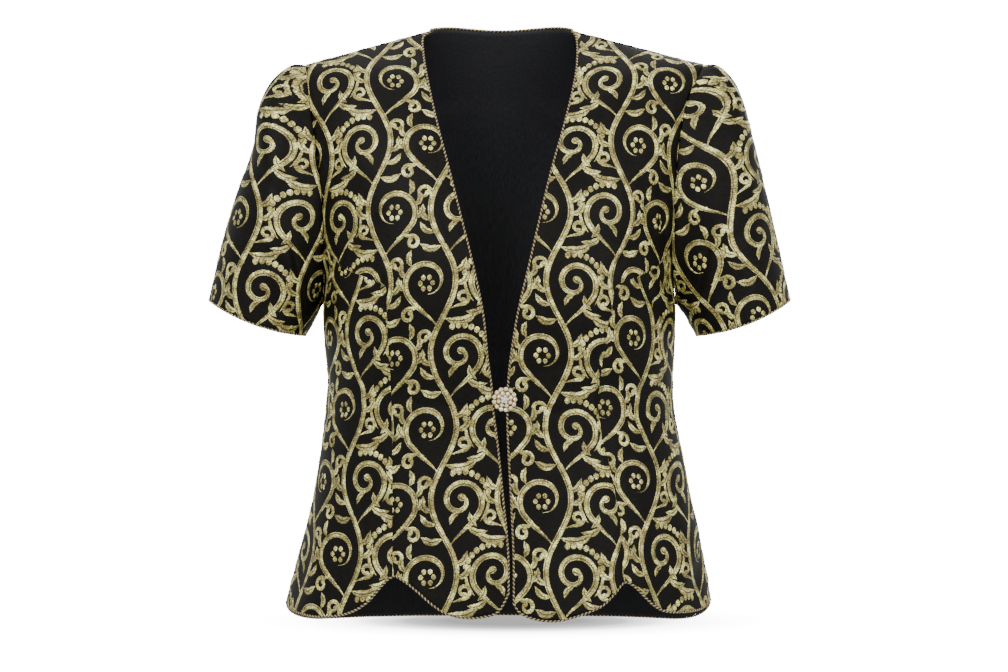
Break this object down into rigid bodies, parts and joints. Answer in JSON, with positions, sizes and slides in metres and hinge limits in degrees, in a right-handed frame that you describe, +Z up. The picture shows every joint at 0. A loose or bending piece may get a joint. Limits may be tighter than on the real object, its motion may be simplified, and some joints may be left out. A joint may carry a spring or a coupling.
{
  "type": "collarless short-sleeved brocade evening jacket",
  "caption": "Hollow worn form of a collarless evening jacket: deep V front closed by one jewelled button, short gathered sleeves, scalloped front hem.",
  "frame": {"origin": "midway between the two points where the shoulder seams meet the neck, where the wearer's shoulders carry the jacket", "axes": "+Z up, -Y the front of the jacket, +X the wearer's left"},
  "size_m": [0.613, 0.2552, 0.6328],
  "materials": {
    "brocade": "satin",
    "lining": "satin",
    "gold_cord": "satin",
    "jewelled_metal": "polished"
  },
  "bodies": {
    "root": {"front_right": "brocade", "front_left": "brocade", "back": "brocade", "sleeve_right": "brocade", "sleeve_left": "brocade", "back_lining": "lining", "edge_cord_right": "gold_cord", "edge_cord_left": "gold_cord", "hem_cord_right": "gold_cord", "hem_cord_left": "gold_cord", "hem_cord_back": "gold_cord", "neck_cord": "gold_cord", "cuff_cord_right": "gold_cord", "cuff_cord_left": "gold_cord", "button": "jewelled_metal", "button_shank": "jewelled_metal"}
  },
  "joints": []
}
